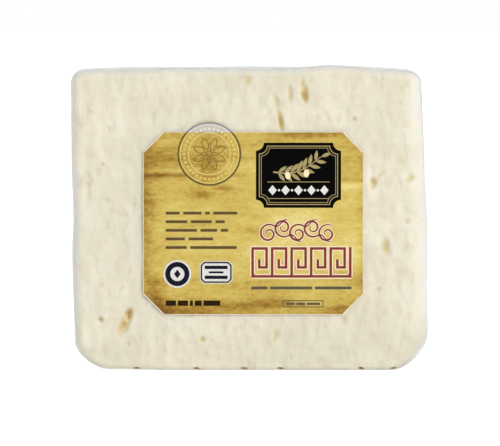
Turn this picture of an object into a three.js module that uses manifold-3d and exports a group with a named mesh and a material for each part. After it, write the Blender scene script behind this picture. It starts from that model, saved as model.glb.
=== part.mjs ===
// A block of feta cheese, vacuum packed in tight clear film, with a printed label on its front.
// It stands on its lower narrow side. Millimetres: +Z is up, +X is to the right as seen from the
// front, and the front faces -Y. The origin is under the middle of the block, on the surface that
// the block stands on.

import * as THREE from "three";
import { mergeVertices } from "three/addons/utils/BufferGeometryUtils.js";
import Module from "manifold-3d";

const wasm = await Module();
wasm.setup();

// The block: a slab a little wider at its foot than at its top.
const HALF_WIDTH = 54;
const HEIGHT = 91.8;
const THICK = 22.3;
const CROWN = 0.45; // how far the middle of each broad face stands out
const MIDDLE_HEIGHT = HEIGHT / 2;

// Where the straight stretches of the outline end and the four worn corners begin. The foot is flat
// for most of its length and lifts a little towards its left end.
const FOOT_LEFT = { x: -42.5, z: 0.45 };
const FLAT_FROM = -16;
const FOOT_RIGHT = 42.8;
const LOWER_LEFT = { x: -52.6, z: 8.6 };
const LOWER_RIGHT = { x: 54, z: 11.4 };
const UPPER_RIGHT = { x: 52.1, z: 86.8 };
const TOP_RIGHT = { x: 46.5, z: 90.3 };
const TOP_LEFT = { x: -49.6, z: 90.45 };
const UPPER_LEFT = { x: -53.9, z: 86.6 };

// How long a corner's curve handles are, as a share of the corner: 0.55 is round, less is flatter.
const ROUND = 0.55;
const WORN_LEFT = 0.43;
const WORN_RIGHT = 0.47;

// How far the broad faces' edges are rounded, measured along the face and through the thickness.
const EDGE_ROUNDING = { left: 3, right: 5, top: 2.2, foot: 1.4 };
const EDGE_DEPTH = { left: 3, right: 5, top: 2.6, foot: 1.6 };

// Slow waves that make the cut faces uneven, weaker on the narrow sides.
const WAVES = 7;
const LONGEST_WAVE = 46;
const SHORTER_BY = 0.8;
const WAVE_HEIGHT = 0.11;
const WAVE_SLANT = 0.7; // how far the waves shift with each step through the thickness
const WAVE_SHIFT = 1.7; // radians between one wave's start and the next one's
const NARROW_SHARE = 0.5;
const FLAT_FOOT = 6; // the waves die out this far above the foot, so that it stays flat

// The mesh: the length of a step along the outline, and how many steps each other stretch takes.
const OUTLINE_STEP = 5.5;
const CORNER_STEPS = 7;
const FACE_SHARES = [0.16, 0.32, 0.46, 0.59, 0.71, 0.81, 0.89, 0.95, 1];
const EDGE_STEPS = 4;
const BAND_STEPS = 5;

// The curd holes that show on the front, each with its middle, half its length and half its width,
// its lean from upright in degrees (positive leans to the right) and its depth.
const FRONT_HOLES = [
  { x: 16.8, z: 83.3, long: 2.5, wide: 1.2, lean: -4, deep: 1.6 }, // dark drop under the top edge
  { x: 16.2, z: 86.4, long: 2.0, wide: 0.7, lean: -6, deep: 0.7 },
  { x: 9.5, z: 75.4, long: 3.1, wide: 0.9, lean: -11, deep: 1.3 }, // crease that runs to the label
  { x: 8.2, z: 81.0, long: 3.2, wide: 0.8, lean: -10, deep: 0.7 },
  { x: 12.4, z: 83.2, long: 2.5, wide: 0.7, lean: -4, deep: 0.9 },
  { x: -0.2, z: 88.0, long: 2.0, wide: 0.7, lean: 4, deep: 0.6 },
  { x: 31.7, z: 75.8, long: 0.7, wide: 0.6, lean: 0, deep: 0.9 },
  { x: 37.6, z: 56.9, long: 1.6, wide: 1.1, lean: 15, deep: 1.2 },
  { x: 39.7, z: 59.3, long: 1.6, wide: 0.6, lean: 50, deep: 0.5 },
  { x: 48.7, z: 58.2, long: 1.2, wide: 0.9, lean: 52, deep: 1.1 },
  { x: 47.7, z: 45.0, long: 0.8, wide: 0.6, lean: 60, deep: 0.6 },
  { x: 41.2, z: 37.3, long: 2.2, wide: 1.0, lean: -8, deep: 1.0 },
  { x: 39.0, z: 24.5, long: 1.1, wide: 0.7, lean: 13, deep: 0.7 },
  { x: 28.6, z: 15.4, long: 1.6, wide: 0.7, lean: 9, deep: 0.7 },
  { x: 8.1, z: 10.6, long: 2.1, wide: 0.7, lean: 3, deep: 0.7 },
  { x: -14.1, z: 9.4, long: 1.2, wide: 0.9, lean: -58, deep: 0.9 },
  { x: -36.3, z: 16.9, long: 2.3, wide: 1.0, lean: 15, deep: 1.8 }, // upper end of a slanting split
  { x: -37.7, z: 14.1, long: 4.0, wide: 1.1, lean: 29, deep: 1.1 },
  { x: -44.7, z: 15.4, long: 0.7, wide: 0.7, lean: 0, deep: 1.1 },
  { x: -36.5, z: 8.2, long: 0.9, wide: 0.7, lean: -20, deep: 0.6 },
  { x: -44.1, z: 62.2, long: 0.8, wide: 0.7, lean: -59, deep: 0.6 },
  { x: -48.2, z: 55.4, long: 1.5, wide: 0.8, lean: 10, deep: 0.6 },
  { x: -38.7, z: 24.8, long: 1.3, wide: 0.6, lean: 38, deep: 0.5 },
];

// Small notches where the lower front edge has crumbled, as places along the foot.
const NOTCHES = [-33.9, -15.8, -1.4, 9.5, 33.9, 43.6];
const NOTCH = { long: 1.2, wide: 0.7, lean: 90, deep: 0.7 };
const NOTCH_HEIGHT = 0.5;

// Like holes on the back and on the narrow sides, with the least and most of each of their sizes.
const BACK_HOLES = { count: 13, long: [0.9, 3.2], wide: [0.6, 1.1], lean: [-25, 35], deep: [0.6, 1.5] };
const SIDE_HOLES = { count: 9, long: [0.8, 1.8], wide: [0.6, 1], lean: [-40, 40], deep: [0.6, 1.1] };
const BACK_REACH = { x: [-42, 42], z: [12, 82] };
const SIDE_REACH = { y: [-5, 5], lowest: 15 };
const SEED = 20;

// A hole is cut by an egg that stands this share of the hole's depth out of the surface.
const EGG_SIDES = 9;
const EGG_RINGS = 6;
const EGG_OUTSIDE = 0.35;

// The label: a rectangle with clipped corners, and a round tab that stands over its top edge.
const LABEL = { x: 1.3, z: 44.5, width: 66, height: 54.8, clip: 6.2, thick: 0.25 };
const TAB = { x: -13.2, z: 20.7, radius: 9.5 };
const CLEARANCE = 0.3;
const LABEL_EDGE_STEP = 6;
const TAB_ARC_STEP = 1.5;
const LABEL_SHARES = [0.2, 0.4, 0.6, 0.8, 1];

const CHEESE = new THREE.MeshStandardMaterial({ color: 0xe8e1cb, roughness: 0.35, metalness: 0 });
const PAPER = new THREE.MeshStandardMaterial({ color: 0xd9c067, roughness: 0.45, metalness: 0 });

// One rounded corner of the outline, from one straight stretch to the next.
function corner(path, meeting, end, roundness) {
  const start = path.currentPoint.clone();
  const first = start.clone().lerp(meeting, roundness);
  const second = end.clone().lerp(meeting, roundness);
  path.bezierCurveTo(first.x, first.y, second.x, second.y, end.x, end.y);
}

// The block's outline as seen from the front, counter-clockwise from the left end of its foot. The
// sides are the cut faces, which lean and wander, and the top has a low hump right of its middle.
function blockOutline() {
  const at = (x, z) => new THREE.Vector2(x, z);
  const path = new THREE.Path();
  path.moveTo(FOOT_LEFT.x, FOOT_LEFT.z);
  path.quadraticCurveTo((FOOT_LEFT.x + FLAT_FROM) / 2, 0, FLAT_FROM, 0);
  path.lineTo(FOOT_RIGHT, 0);
  corner(path, at(LOWER_RIGHT.x, 0), at(LOWER_RIGHT.x, LOWER_RIGHT.z), WORN_RIGHT);
  const rightSide = [at(54, 28), at(53.85, 46), at(53.2, 57), at(52.7, 70)];
  path.splineThru([...rightSide, at(UPPER_RIGHT.x, UPPER_RIGHT.z)]);
  corner(path, at(UPPER_RIGHT.x, TOP_RIGHT.z), at(TOP_RIGHT.x, TOP_RIGHT.z), ROUND);
  const hump = [at(40, 90.85), at(31, 91.4), at(23.3, 91.7), at(14, 91.1)];
  path.splineThru([...hump, at(-10, 91.1), at(-35, 90.9), at(TOP_LEFT.x, TOP_LEFT.z)]);
  corner(path, at(UPPER_LEFT.x, TOP_LEFT.z), at(UPPER_LEFT.x, UPPER_LEFT.z), ROUND);
  const leftSide = [at(-53.7, 68), at(-53.2, 48), at(-53.5, 35), at(-53.1, 21)];
  path.splineThru([...leftSide, at(LOWER_LEFT.x, LOWER_LEFT.z)]);
  corner(path, at(LOWER_LEFT.x, FOOT_LEFT.z), at(FOOT_LEFT.x, FOOT_LEFT.z), WORN_LEFT);
  return path;
}

// Points round a closed path at even steps, closer in its corners, and each point's outward way.
function walk(path) {
  const points = path.curves.flatMap((curve) => {
    const isCorner = curve instanceof THREE.CubicBezierCurve;
    const steps = isCorner ? CORNER_STEPS : Math.round(curve.getLength() / OUTLINE_STEP);
    return curve.getSpacedPoints(steps).slice(0, -1);
  });
  return points.map((point, index) => {
    const before = points[(index + points.length - 1) % points.length];
    const after = points[(index + 1) % points.length];
    const along = after.clone().sub(before).normalize();
    return { point, out: new THREE.Vector2(along.y, -along.x) };
  });
}

// A size that differs from side to side, as it is where the outline faces the way of out.
function bySide(sizes, out) {
  const across = out.x > 0 ? sizes.right : sizes.left;
  const upright = out.y > 0 ? sizes.top : sizes.foot;
  return across * out.x ** 2 + upright * out.y ** 2;
}

// How far the surface stands out at a place: a sum of slow waves, each shorter, lower and turned by
// the golden angle from the one before, fading to nothing at the foot.
function uneven(x, y, z) {
  const goldenAngle = Math.PI * (3 - Math.sqrt(5));
  let height = 0;
  for (let k = 0; k < WAVES; k++) {
    const size = SHORTER_BY ** k;
    const along = x * Math.cos(k * goldenAngle) + z * Math.sin(k * goldenAngle) + WAVE_SLANT * y;
    const phase = (2 * Math.PI * along) / (LONGEST_WAVE * size) + WAVE_SHIFT * k;
    height += size * WAVE_HEIGHT * Math.sin(phase);
  }
  return height * THREE.MathUtils.smoothstep(z, 0, FLAT_FOOT);
}

// How far a broad face stands out beyond half the block's thickness, where it isn't rounded off.
function faceRise(x, y, z) {
  const across = 1 - (x / HALF_WIDTH) ** 2;
  const upright = 1 - ((z - MIDDLE_HEIGHT) / MIDDLE_HEIGHT) ** 2;
  return CROWN * Math.max(across, 0) * Math.max(upright, 0) + uneven(x, y, z);
}

// One ring of the block's surface. side is -1 on the front half and 1 on the back half. turn is 0
// on the narrow sides and a quarter turn where the rounded edge meets the broad face; share below 1
// draws the ring in over the broad face. through places a ring on the band between the two edges.
function blockRing(outline, side, turn, share, through) {
  return outline.map(({ point, out }) => {
    const inset = bySide(EDGE_ROUNDING, out) * (1 - Math.cos(turn));
    const deep = bySide(EDGE_DEPTH, out);
    const x = (point.x - out.x * inset) * share;
    const z = MIDDLE_HEIGHT + (point.y - out.y * inset - MIDDLE_HEIGHT) * share;
    const y = side * (THICK / 2 - deep * (1 - Math.sin(turn))) * through;
    const rise = NARROW_SHARE * uneven(x, y, z) * Math.cos(turn);
    const lift = faceRise(x, side * THICK, z) * Math.sin(turn);
    return new THREE.Vector3(x + out.x * rise, y + side * lift, Math.max(z + out.y * rise, 0));
  });
}

// A closed solid from closed rings of equally many points, from the middle of its front to the
// middle of its back.
function solidOfRings(front, rings, back) {
  const positions = [front, ...rings.flat(), back];
  const count = rings[0].length;
  const last = positions.length - 1;
  const at = (ring, index) => 1 + ring * count + (index % count);
  const faces = [];
  for (let i = 0; i < count; i++) {
    faces.push(0, at(0, i), at(0, i + 1));
    faces.push(at(rings.length - 1, i), last, at(rings.length - 1, i + 1));
    for (let ring = 0; ring + 1 < rings.length; ring++) {
      faces.push(at(ring, i), at(ring + 1, i), at(ring + 1, i + 1));
      faces.push(at(ring, i), at(ring + 1, i + 1), at(ring, i + 1));
    }
  }
  const geometry = new THREE.BufferGeometry().setFromPoints(positions);
  geometry.setIndex(faces);
  geometry.computeVertexNormals();
  return geometry;
}

// The block before any hole is cut: a broad front, rounded edges, a narrow band and a broad back.
function slab(outline) {
  const quarter = Math.PI / 2;
  const rings = [];
  FACE_SHARES.forEach((share) => rings.push(blockRing(outline, -1, quarter, share, 1)));
  for (let k = EDGE_STEPS - 1; k >= 0; k--) {
    rings.push(blockRing(outline, -1, (quarter * k) / EDGE_STEPS, 1, 1));
  }
  for (let k = 1; k < BAND_STEPS; k++) {
    const through = 1 - (2 * k) / BAND_STEPS;
    rings.push(blockRing(outline, -1, 0, 1, through));
  }
  for (let k = 0; k < EDGE_STEPS; k++) {
    rings.push(blockRing(outline, 1, (quarter * k) / EDGE_STEPS, 1, 1));
  }
  [...FACE_SHARES].reverse().forEach((share) => rings.push(blockRing(outline, 1, quarter, share, 1)));
  const middle = (side) =>
    new THREE.Vector3(0, side * (THICK / 2 + faceRise(0, side * THICK, MIDDLE_HEIGHT)), MIDDLE_HEIGHT);
  return solidOfRings(middle(-1), rings, middle(1));
}

// Numbers from 0 to 1 that look random and are the same on every run: each is the last one times a
// fixed factor, less all whole multiples of a large prime.
function* draws(seed) {
  const prime = 2147483647;
  let state = seed;
  while (true) {
    state = (state * 48271) % prime;
    yield state / prime;
  }
}

// A point on a broad face. side is -1 for the front and 1 for the back.
function onFace(x, side, z) {
  return new THREE.Vector3(x, side * (THICK / 2 + faceRise(x, side * THICK, z)), z);
}

// The shape that one hole is cut with: an egg with its long axis in the surface and its short axis
// along inward, which sinks by the hole's depth and is widest a little outside the surface.
function holeCutter(place, inward, { long, wide, lean, deep }) {
  const egg = new THREE.SphereGeometry(1, EGG_SIDES, EGG_RINGS);
  const outside = EGG_OUTSIDE * deep;
  const fuller = 1 / Math.sqrt(1 - (EGG_OUTSIDE / (1 + EGG_OUTSIDE)) ** 2);
  const across = new THREE.Vector3().crossVectors(inward, new THREE.Vector3(0, 0, 1)).normalize();
  const along = new THREE.Vector3().crossVectors(across, inward).normalize();
  egg.scale(wide * fuller, deep + outside, long * fuller);
  egg.rotateY(THREE.MathUtils.degToRad(lean));
  egg.applyMatrix4(new THREE.Matrix4().makeBasis(across, inward, along));
  const middle = place.clone().addScaledVector(inward, -outside);
  return egg.translate(middle.x, middle.y, middle.z);
}

// The cutting shapes of the holes on the front and of the notches along the foot.
function frontCutters() {
  const intoFront = new THREE.Vector3(0, 1, 0);
  const intoFoot = new THREE.Vector3(0, 1, 0.4).normalize();
  const footEdge = (EDGE_DEPTH.foot - THICK) / 2;
  return [
    ...FRONT_HOLES.map((hole) => holeCutter(onFace(hole.x, -1, hole.z), intoFront, hole)),
    ...NOTCHES.map((x) => holeCutter(new THREE.Vector3(x, footEdge, NOTCH_HEIGHT), intoFoot, NOTCH)),
  ];
}

// The cutting shapes of the holes on the back and on the narrow sides that stand clear, spread
// evenly with seeded draws for their sizes and places.
function hiddenCutters(outline) {
  const random = draws(SEED);
  const within = ([low, high]) => low + (high - low) * random.next().value;
  const holeLike = ({ long, wide, lean, deep }) => ({
    long: within(long),
    wide: within(wide),
    lean: within(lean),
    deep: within(deep),
  });
  const cutters = [];
  const [left, right] = BACK_REACH.x;
  for (let k = 0; k < BACK_HOLES.count; k++) {
    const x = left + ((right - left) * (k + within([0.1, 0.9]))) / BACK_HOLES.count;
    const place = onFace(x, 1, within(BACK_REACH.z));
    cutters.push(holeCutter(place, new THREE.Vector3(0, -1, 0), holeLike(BACK_HOLES)));
  }
  const facesOneWay = (out) => Math.max(Math.abs(out.x), out.y) > 0.99;
  const clear = outline.filter(({ point, out }) => point.y > SIDE_REACH.lowest && facesOneWay(out));
  for (let k = 0; k < SIDE_HOLES.count; k++) {
    const share = (k + within([0.2, 0.8])) / SIDE_HOLES.count;
    const { point, out } = clear[Math.floor(share * clear.length)];
    const inward = new THREE.Vector3(-out.x, 0.02, -out.y).normalize();
    const place = new THREE.Vector3(point.x, within(SIDE_REACH.y), point.y);
    cutters.push(holeCutter(place, inward, holeLike(SIDE_HOLES)));
  }
  return cutters;
}

// A closed geometry as a solid that can be cut.
function toSolid(geometry) {
  const bare = geometry.clone();
  bare.deleteAttribute("normal");
  bare.deleteAttribute("uv");
  const merged = mergeVertices(bare, 1e-4);
  return new wasm.Manifold(
    new wasm.Mesh({
      numProp: 3,
      vertProperties: merged.attributes.position.array,
      triVerts: new Uint32Array(merged.index.array),
    }),
  );
}

// A cut solid as a geometry again.
function toGeometry(solid) {
  const mesh = solid.getMesh();
  const geometry = new THREE.BufferGeometry();
  geometry.setAttribute("position", new THREE.BufferAttribute(mesh.vertProperties, 3));
  geometry.setIndex(new THREE.BufferAttribute(mesh.triVerts, 1));
  geometry.computeVertexNormals();
  return geometry;
}

// The block in its film, with its holes and notches.
function fetaBlock() {
  const outline = walk(blockOutline());
  const whole = toSolid(slab(outline));
  const cutters = [...frontCutters(), ...hiddenCutters(outline)];
  const cut = cutters.reduce((solid, cutter) => solid.subtract(toSolid(cutter)), whole);
  const mesh = new THREE.Mesh(toGeometry(cut), CHEESE);
  mesh.name = "feta_block";
  return mesh;
}

// The label's outline about its own middle: eight straight edges, with the tab's arc let into the
// top edge, counter-clockwise from the left end of the lower edge.
function labelOutline() {
  const { width, height, clip } = LABEL;
  const right = width / 2;
  const top = height / 2;
  const reach = Math.sqrt(TAB.radius ** 2 - (top - TAB.z) ** 2);
  const arcStart = Math.atan2(top - TAB.z, reach);
  const shape = new THREE.Path();
  shape.moveTo(clip - right, -top);
  shape.lineTo(right - clip, -top);
  shape.lineTo(right, clip - top);
  shape.lineTo(right, top - clip);
  shape.lineTo(right - clip, top);
  shape.lineTo(TAB.x + reach, top);
  shape.absarc(TAB.x, TAB.z, TAB.radius, arcStart, Math.PI - arcStart, false);
  shape.lineTo(clip - right, top);
  shape.lineTo(-right, top - clip);
  shape.lineTo(-right, clip - top);
  shape.lineTo(clip - right, -top);
  return shape;
}

// The label: a sheet that follows the block's front at a small distance, with a crisp cut edge.
function label() {
  const edges = labelOutline().curves.filter((curve) => curve.getLength() > 1e-6);
  const outline = edges.flatMap((curve) => {
    const step = curve instanceof THREE.EllipseCurve ? TAB_ARC_STEP : LABEL_EDGE_STEP;
    return curve.getSpacedPoints(Math.ceil(curve.getLength() / step)).slice(0, -1);
  });
  const layer = (x, z, off) => {
    const place = onFace(LABEL.x + x, -1, LABEL.z + z);
    return place.setY(place.y - CLEARANCE - off);
  };
  const ring = (share, off) => outline.map(({ x, y }) => layer(x * share, y * share, off));
  const rings = [
    ...LABEL_SHARES.map((share) => ring(share, LABEL.thick)),
    ...[...LABEL_SHARES].reverse().map((share) => ring(share, 0)),
  ];
  const geometry = solidOfRings(layer(0, 0, LABEL.thick), rings, layer(0, 0, 0));
  const mesh = new THREE.Mesh(geometry, PAPER);
  mesh.name = "label";
  return mesh;
}

const packedBlock = new THREE.Group();
packedBlock.add(fetaBlock(), label());

// The origin is set under the middle of the whole, label included, on the surface below it.
const extent = new THREE.Box3().setFromObject(packedBlock, true);
const middle = extent.getCenter(new THREE.Vector3());
packedBlock.position.set(-middle.x, -middle.y, -extent.min.z);

export default packedBlock;
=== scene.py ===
import math

import bpy
import numpy as np
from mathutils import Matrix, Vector


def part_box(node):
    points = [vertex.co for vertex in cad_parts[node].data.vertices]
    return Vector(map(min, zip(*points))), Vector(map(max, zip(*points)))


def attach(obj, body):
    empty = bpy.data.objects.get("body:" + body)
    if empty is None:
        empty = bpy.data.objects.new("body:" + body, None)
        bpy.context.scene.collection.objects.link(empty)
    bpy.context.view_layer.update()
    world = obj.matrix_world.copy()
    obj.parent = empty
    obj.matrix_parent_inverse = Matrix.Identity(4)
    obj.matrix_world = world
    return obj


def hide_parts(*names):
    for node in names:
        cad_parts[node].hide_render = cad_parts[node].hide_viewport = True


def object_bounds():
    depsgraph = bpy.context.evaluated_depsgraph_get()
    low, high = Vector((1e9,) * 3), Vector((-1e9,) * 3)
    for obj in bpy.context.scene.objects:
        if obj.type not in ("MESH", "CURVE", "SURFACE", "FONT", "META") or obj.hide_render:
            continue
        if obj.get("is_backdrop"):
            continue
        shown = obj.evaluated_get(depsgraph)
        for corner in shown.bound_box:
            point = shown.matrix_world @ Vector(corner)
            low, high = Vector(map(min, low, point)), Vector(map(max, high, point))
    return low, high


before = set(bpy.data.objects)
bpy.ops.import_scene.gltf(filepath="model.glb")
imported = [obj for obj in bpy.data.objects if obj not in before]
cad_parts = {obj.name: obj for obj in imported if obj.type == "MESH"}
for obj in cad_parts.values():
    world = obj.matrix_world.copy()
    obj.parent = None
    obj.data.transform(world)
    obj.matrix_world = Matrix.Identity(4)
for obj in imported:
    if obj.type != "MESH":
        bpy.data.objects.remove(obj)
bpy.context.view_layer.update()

# The block of cheese
# Fresh brined curd, pressed into a slab, cut to a block and worn at its corners. Whey stands in
# the small holes that the curds leave, and shows ochre there.

MM = 0.001
HALF_WIDTH = 54
HEIGHT = 91.8
THICK = 22.3
CROWN = 0.45
MIDDLE_HEIGHT = HEIGHT / 2
ROUND = 0.55
WORN_LEFT = 0.43
WORN_RIGHT = 0.47
FOOT_LEFT = (-42.5, 0.45)
FLAT_FROM = (-16, 0)
FOOT_RIGHT = (42.8, 0)
RIGHT_SIDE = [(54, 11.4), (54, 28), (53.85, 46), (53.2, 57), (52.7, 70), (52.1, 86.8)]
TOP_SIDE = [(46.5, 90.3), (40, 90.85), (31, 91.4), (23.3, 91.7), (14, 91.1), (-10, 91.1)]
TOP_SIDE += [(-35, 90.9), (-49.6, 90.45)]
LEFT_SIDE = [(-53.9, 86.6), (-53.7, 68), (-53.2, 48), (-53.5, 35), (-53.1, 21), (-52.6, 8.6)]
EDGE_ROUNDING = dict(left=3, right=5, top=2.2, foot=1.4)
EDGE_DEPTH = dict(left=3, right=5, top=2.6, foot=1.6)
OUTLINE_BLUR = dict(direction=0.8, place=1.5, rounding=2.2)
WAVES = 7
LONGEST_WAVE = 46
SHORTER_BY = 0.8
WAVE_HEIGHT = 0.11
WAVE_SLANT = 0.7
WAVE_SHIFT = 1.7
NARROW_SHARE = 0.5
FLAT_FOOT = 6
CURVE_STEPS = 160
EASING_ROUNDS = 900
FORM_MESH = dict(cell=2.0, edge_steps=4, band_steps=6)
CHEESE_MESH = dict(cell=0.57, edge_steps=7, band_steps=24)


def bezier(start, meeting, end, handle):
    """Points of a cubic curve from start to end, whose handles point to where the two sides would
    meet and are that share of the way there long."""
    start, meeting, end = (np.array(p, float) for p in (start, meeting, end))
    t = np.linspace(0, 1, CURVE_STEPS, endpoint=False)[:, None]
    first = start + (meeting - start) * handle
    second = end + (meeting - end) * handle
    return (1 - t) ** 3 * start + 3 * (1 - t) ** 2 * t * first + 3 * (1 - t) * t**2 * second + t**3 * end


def through_points(points):
    """Points of a smooth curve through the given ones: between two of them a cubic whose slope at
    each end is half the step from the point before it to the point after it."""
    p = np.array([points[0], *points, points[-1]], float)
    u = np.linspace(0, len(points) - 1, CURVE_STEPS * len(points), endpoint=False)
    k = u.astype(int)
    t = (u - k)[:, None]
    before, start, end, after = p[k], p[k + 1], p[k + 2], p[k + 3]
    slope_start, slope_end = (end - before) / 2, (after - start) / 2
    return (
        (2 * t**3 - 3 * t**2 + 1) * start
        + (t**3 - 2 * t**2 + t) * slope_start
        + (3 * t**2 - 2 * t**3) * end
        + (t**3 - t**2) * slope_end
    )


def block_outline():
    """The block seen from the front, counter-clockwise in four stretches of points: foot, right
    side, top and left side, each from the middle of one worn corner to the middle of the next."""
    halfway = ((FOOT_LEFT[0] + FLAT_FROM[0]) / 2, 0)
    lift = bezier(FOOT_LEFT, halfway, FLAT_FROM, handle=2 / 3)
    flat = np.linspace(FLAT_FROM, FOOT_RIGHT, CURVE_STEPS, endpoint=False)
    right, top, left = (through_points(side) for side in (RIGHT_SIDE, TOP_SIDE, LEFT_SIDE))
    lower_right = bezier(FOOT_RIGHT, (RIGHT_SIDE[0][0], 0), RIGHT_SIDE[0], WORN_RIGHT)
    upper_right = bezier(RIGHT_SIDE[-1], (RIGHT_SIDE[-1][0], TOP_SIDE[0][1]), TOP_SIDE[0], ROUND)
    upper_left = bezier(TOP_SIDE[-1], (LEFT_SIDE[0][0], TOP_SIDE[-1][1]), LEFT_SIDE[0], ROUND)
    lower_left = bezier(LEFT_SIDE[-1], (LEFT_SIDE[-1][0], FOOT_LEFT[1]), FOOT_LEFT, WORN_LEFT)
    half = CURVE_STEPS // 2
    return [
        np.concatenate([lower_left[half:], lift, flat, lower_right[: half + 1]]),
        np.concatenate([lower_right[half:], right, upper_right[: half + 1]]),
        np.concatenate([upper_right[half:], top, upper_left[: half + 1]]),
        np.concatenate([upper_left[half:], left, lower_left[: half + 1]]),
    ]


def evenly(points, steps):
    """The points at even lengths along a line of points, from its start to just before its end."""
    length = np.concatenate([[0], np.cumsum(np.linalg.norm(np.diff(points, axis=0), axis=1))])
    at = np.linspace(0, length[-1], steps, endpoint=False)
    return np.stack([np.interp(at, length, points[:, k]) for k in range(points.shape[1])], axis=1)


def by_side(sizes, out):
    """A size that differs from side to side: the squares of the outward direction's two parts
    share it out between the sides that they face."""
    across = np.where(out[:, 0] > 0, sizes["right"], sizes["left"])
    upright = np.where(out[:, 1] > 0, sizes["top"], sizes["foot"])
    return across * out[:, 0] ** 2 + upright * out[:, 1] ** 2


def uneven(x, y, z):
    """A sum of slow sine waves, each shorter, lower and turned by the golden angle from the one
    before, times a smooth step that dies out at the foot."""
    golden_angle = math.pi * (3 - math.sqrt(5))
    height = 0
    for k in range(WAVES):
        size = SHORTER_BY**k
        along = x * math.cos(k * golden_angle) + z * math.sin(k * golden_angle) + WAVE_SLANT * y
        phase = 2 * math.pi * along / (LONGEST_WAVE * size) + WAVE_SHIFT * k
        height = height + size * WAVE_HEIGHT * np.sin(phase)
    up = np.clip(z / FLAT_FOOT, 0, 1)
    return height * up * up * (3 - 2 * up)


def face_rise(x, y, z):
    """How far a broad face stands out: a low crown that falls off with the square of the distance
    from its middle both ways, and the slow waves."""
    across = np.clip(1 - (x / HALF_WIDTH) ** 2, 0, 1)
    upright = np.clip(1 - ((z - MIDDLE_HEIGHT) / MIDDLE_HEIGHT) ** 2, 0, 1)
    return CROWN * across * upright + uneven(x, y, z)


def blurred(values, spacing, reach):
    """Values round a closed loop, averaged with a bell-shaped weight of the given reach."""
    far = int(3 * reach / spacing)
    weight = np.exp(-0.5 * (np.arange(-far, far + 1) * spacing / reach) ** 2)
    weight /= weight.sum()
    around = np.concatenate([values[-far:], values, values[:far]])
    return np.stack([np.convolve(around[:, k], weight, "valid") for k in range(values.shape[1])], axis=1)


def four_edges(loop, wide, tall):
    """A loop's four stretches as a grid's foot, right, top and left edge, each in the grid's own
    direction and with both of its ends."""
    foot = loop[: wide + 1]
    right = loop[wide : wide + tall + 1]
    top = loop[wide + tall : 2 * wide + tall + 1][::-1]
    left = np.concatenate([loop[2 * wide + tall :], loop[:1]])[::-1]
    return foot, right, top, left


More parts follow.
